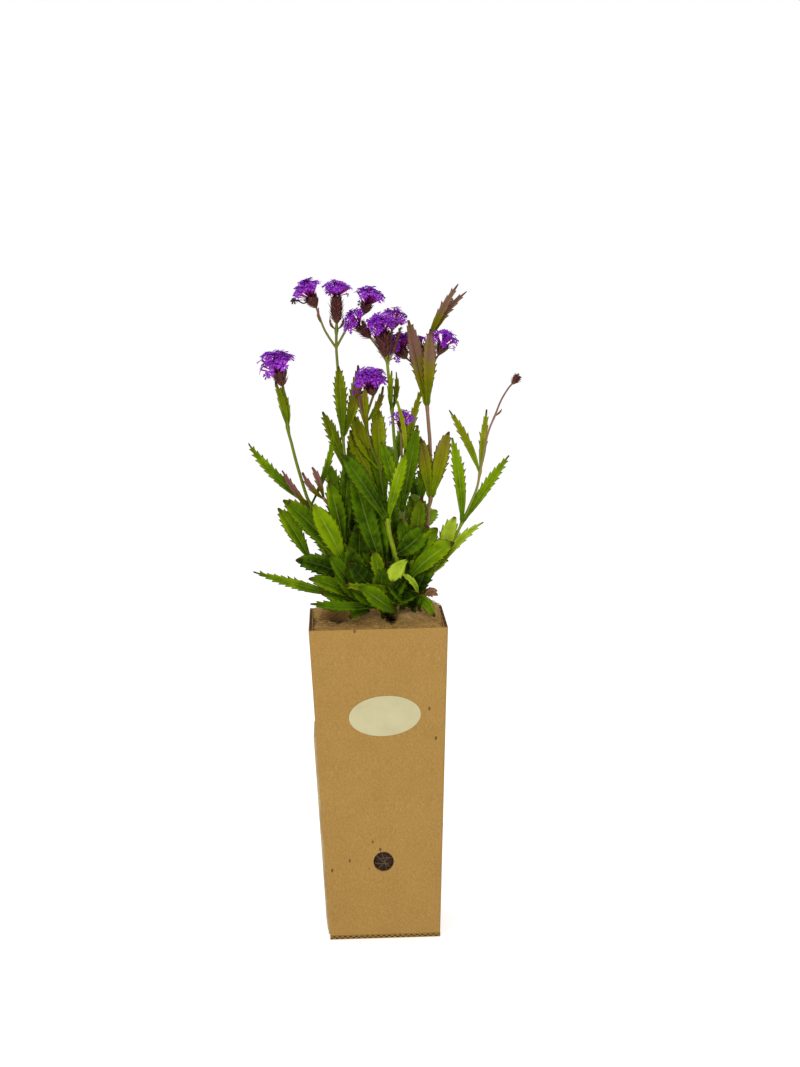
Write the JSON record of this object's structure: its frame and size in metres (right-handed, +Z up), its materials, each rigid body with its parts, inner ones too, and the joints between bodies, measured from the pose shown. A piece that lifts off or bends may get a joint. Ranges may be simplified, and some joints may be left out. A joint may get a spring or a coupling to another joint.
{
  "type": "verbena plant in a cardboard box",
  "caption": "Upright verbena with toothed leaves and violet flower heads, growing in a tall tapered corrugated cardboard plant box.",
  "frame": {"origin": "centre of the box's foot, on the surface that it stands on", "axes": "+Z up, -Y out of the front wall that carries the label, +X to the right seen from the front"},
  "size_m": [0.2138, 0.13, 0.5224],
  "materials": {
    "board": "brown corrugated board, matt",
    "label_paper": "cream paper sticker, bare",
    "soil": "dark peaty soil with roots",
    "mulch_fibre": "brown felted fibre mat",
    "leaf_green": "living stems and leaves, half matt",
    "calyx": "dark bristly calyces",
    "floret_violet": "violet petals, silky"
  },
  "bodies": {
    "root": {"carton": "board", "carton_floor": "board", "label": "label_paper", "root_ball": "soil", "mulch_mat": "mulch_fibre", "shoot_left_tall": "leaf_green", "shoot_centre_tall": "leaf_green", "shoot_right_tall": "leaf_green", "shoot_right_arching": "leaf_green", "shoot_left_leaning": "leaf_green", "shoot_middle": "leaf_green", "shoot_front": "leaf_green", "shoot_inner": "leaf_green", "shoot_young": "leaf_green", "leaves_left": "leaf_green", "leaves_front": "leaf_green", "leaves_right": "leaf_green", "leaves_back_left": "leaf_green", "leaves_back_right": "leaf_green", "spike_A": "calyx", "spike_B": "calyx", "spike_C": "calyx", "spike_D": "calyx", "spike_E": "calyx", "spike_F": "calyx", "spike_F2": "calyx", "spike_G": "calyx", "spike_H": "calyx", "spike_I": "calyx", "spike_J": "calyx", "spike_K": "calyx", "spike_L": "calyx", "spike_M": "calyx", "florets_A": "floret_violet", "florets_B": "floret_violet", "florets_C": "floret_violet", "florets_D": "floret_violet", "florets_E": "floret_violet", "florets_F": "floret_violet", "florets_F2": "floret_violet", "florets_G": "floret_violet", "florets_H": "floret_violet", "florets_I": "floret_violet", "florets_J": "floret_violet", "florets_K": "floret_violet", "florets_L": "floret_violet"}
  },
  "joints": []
}
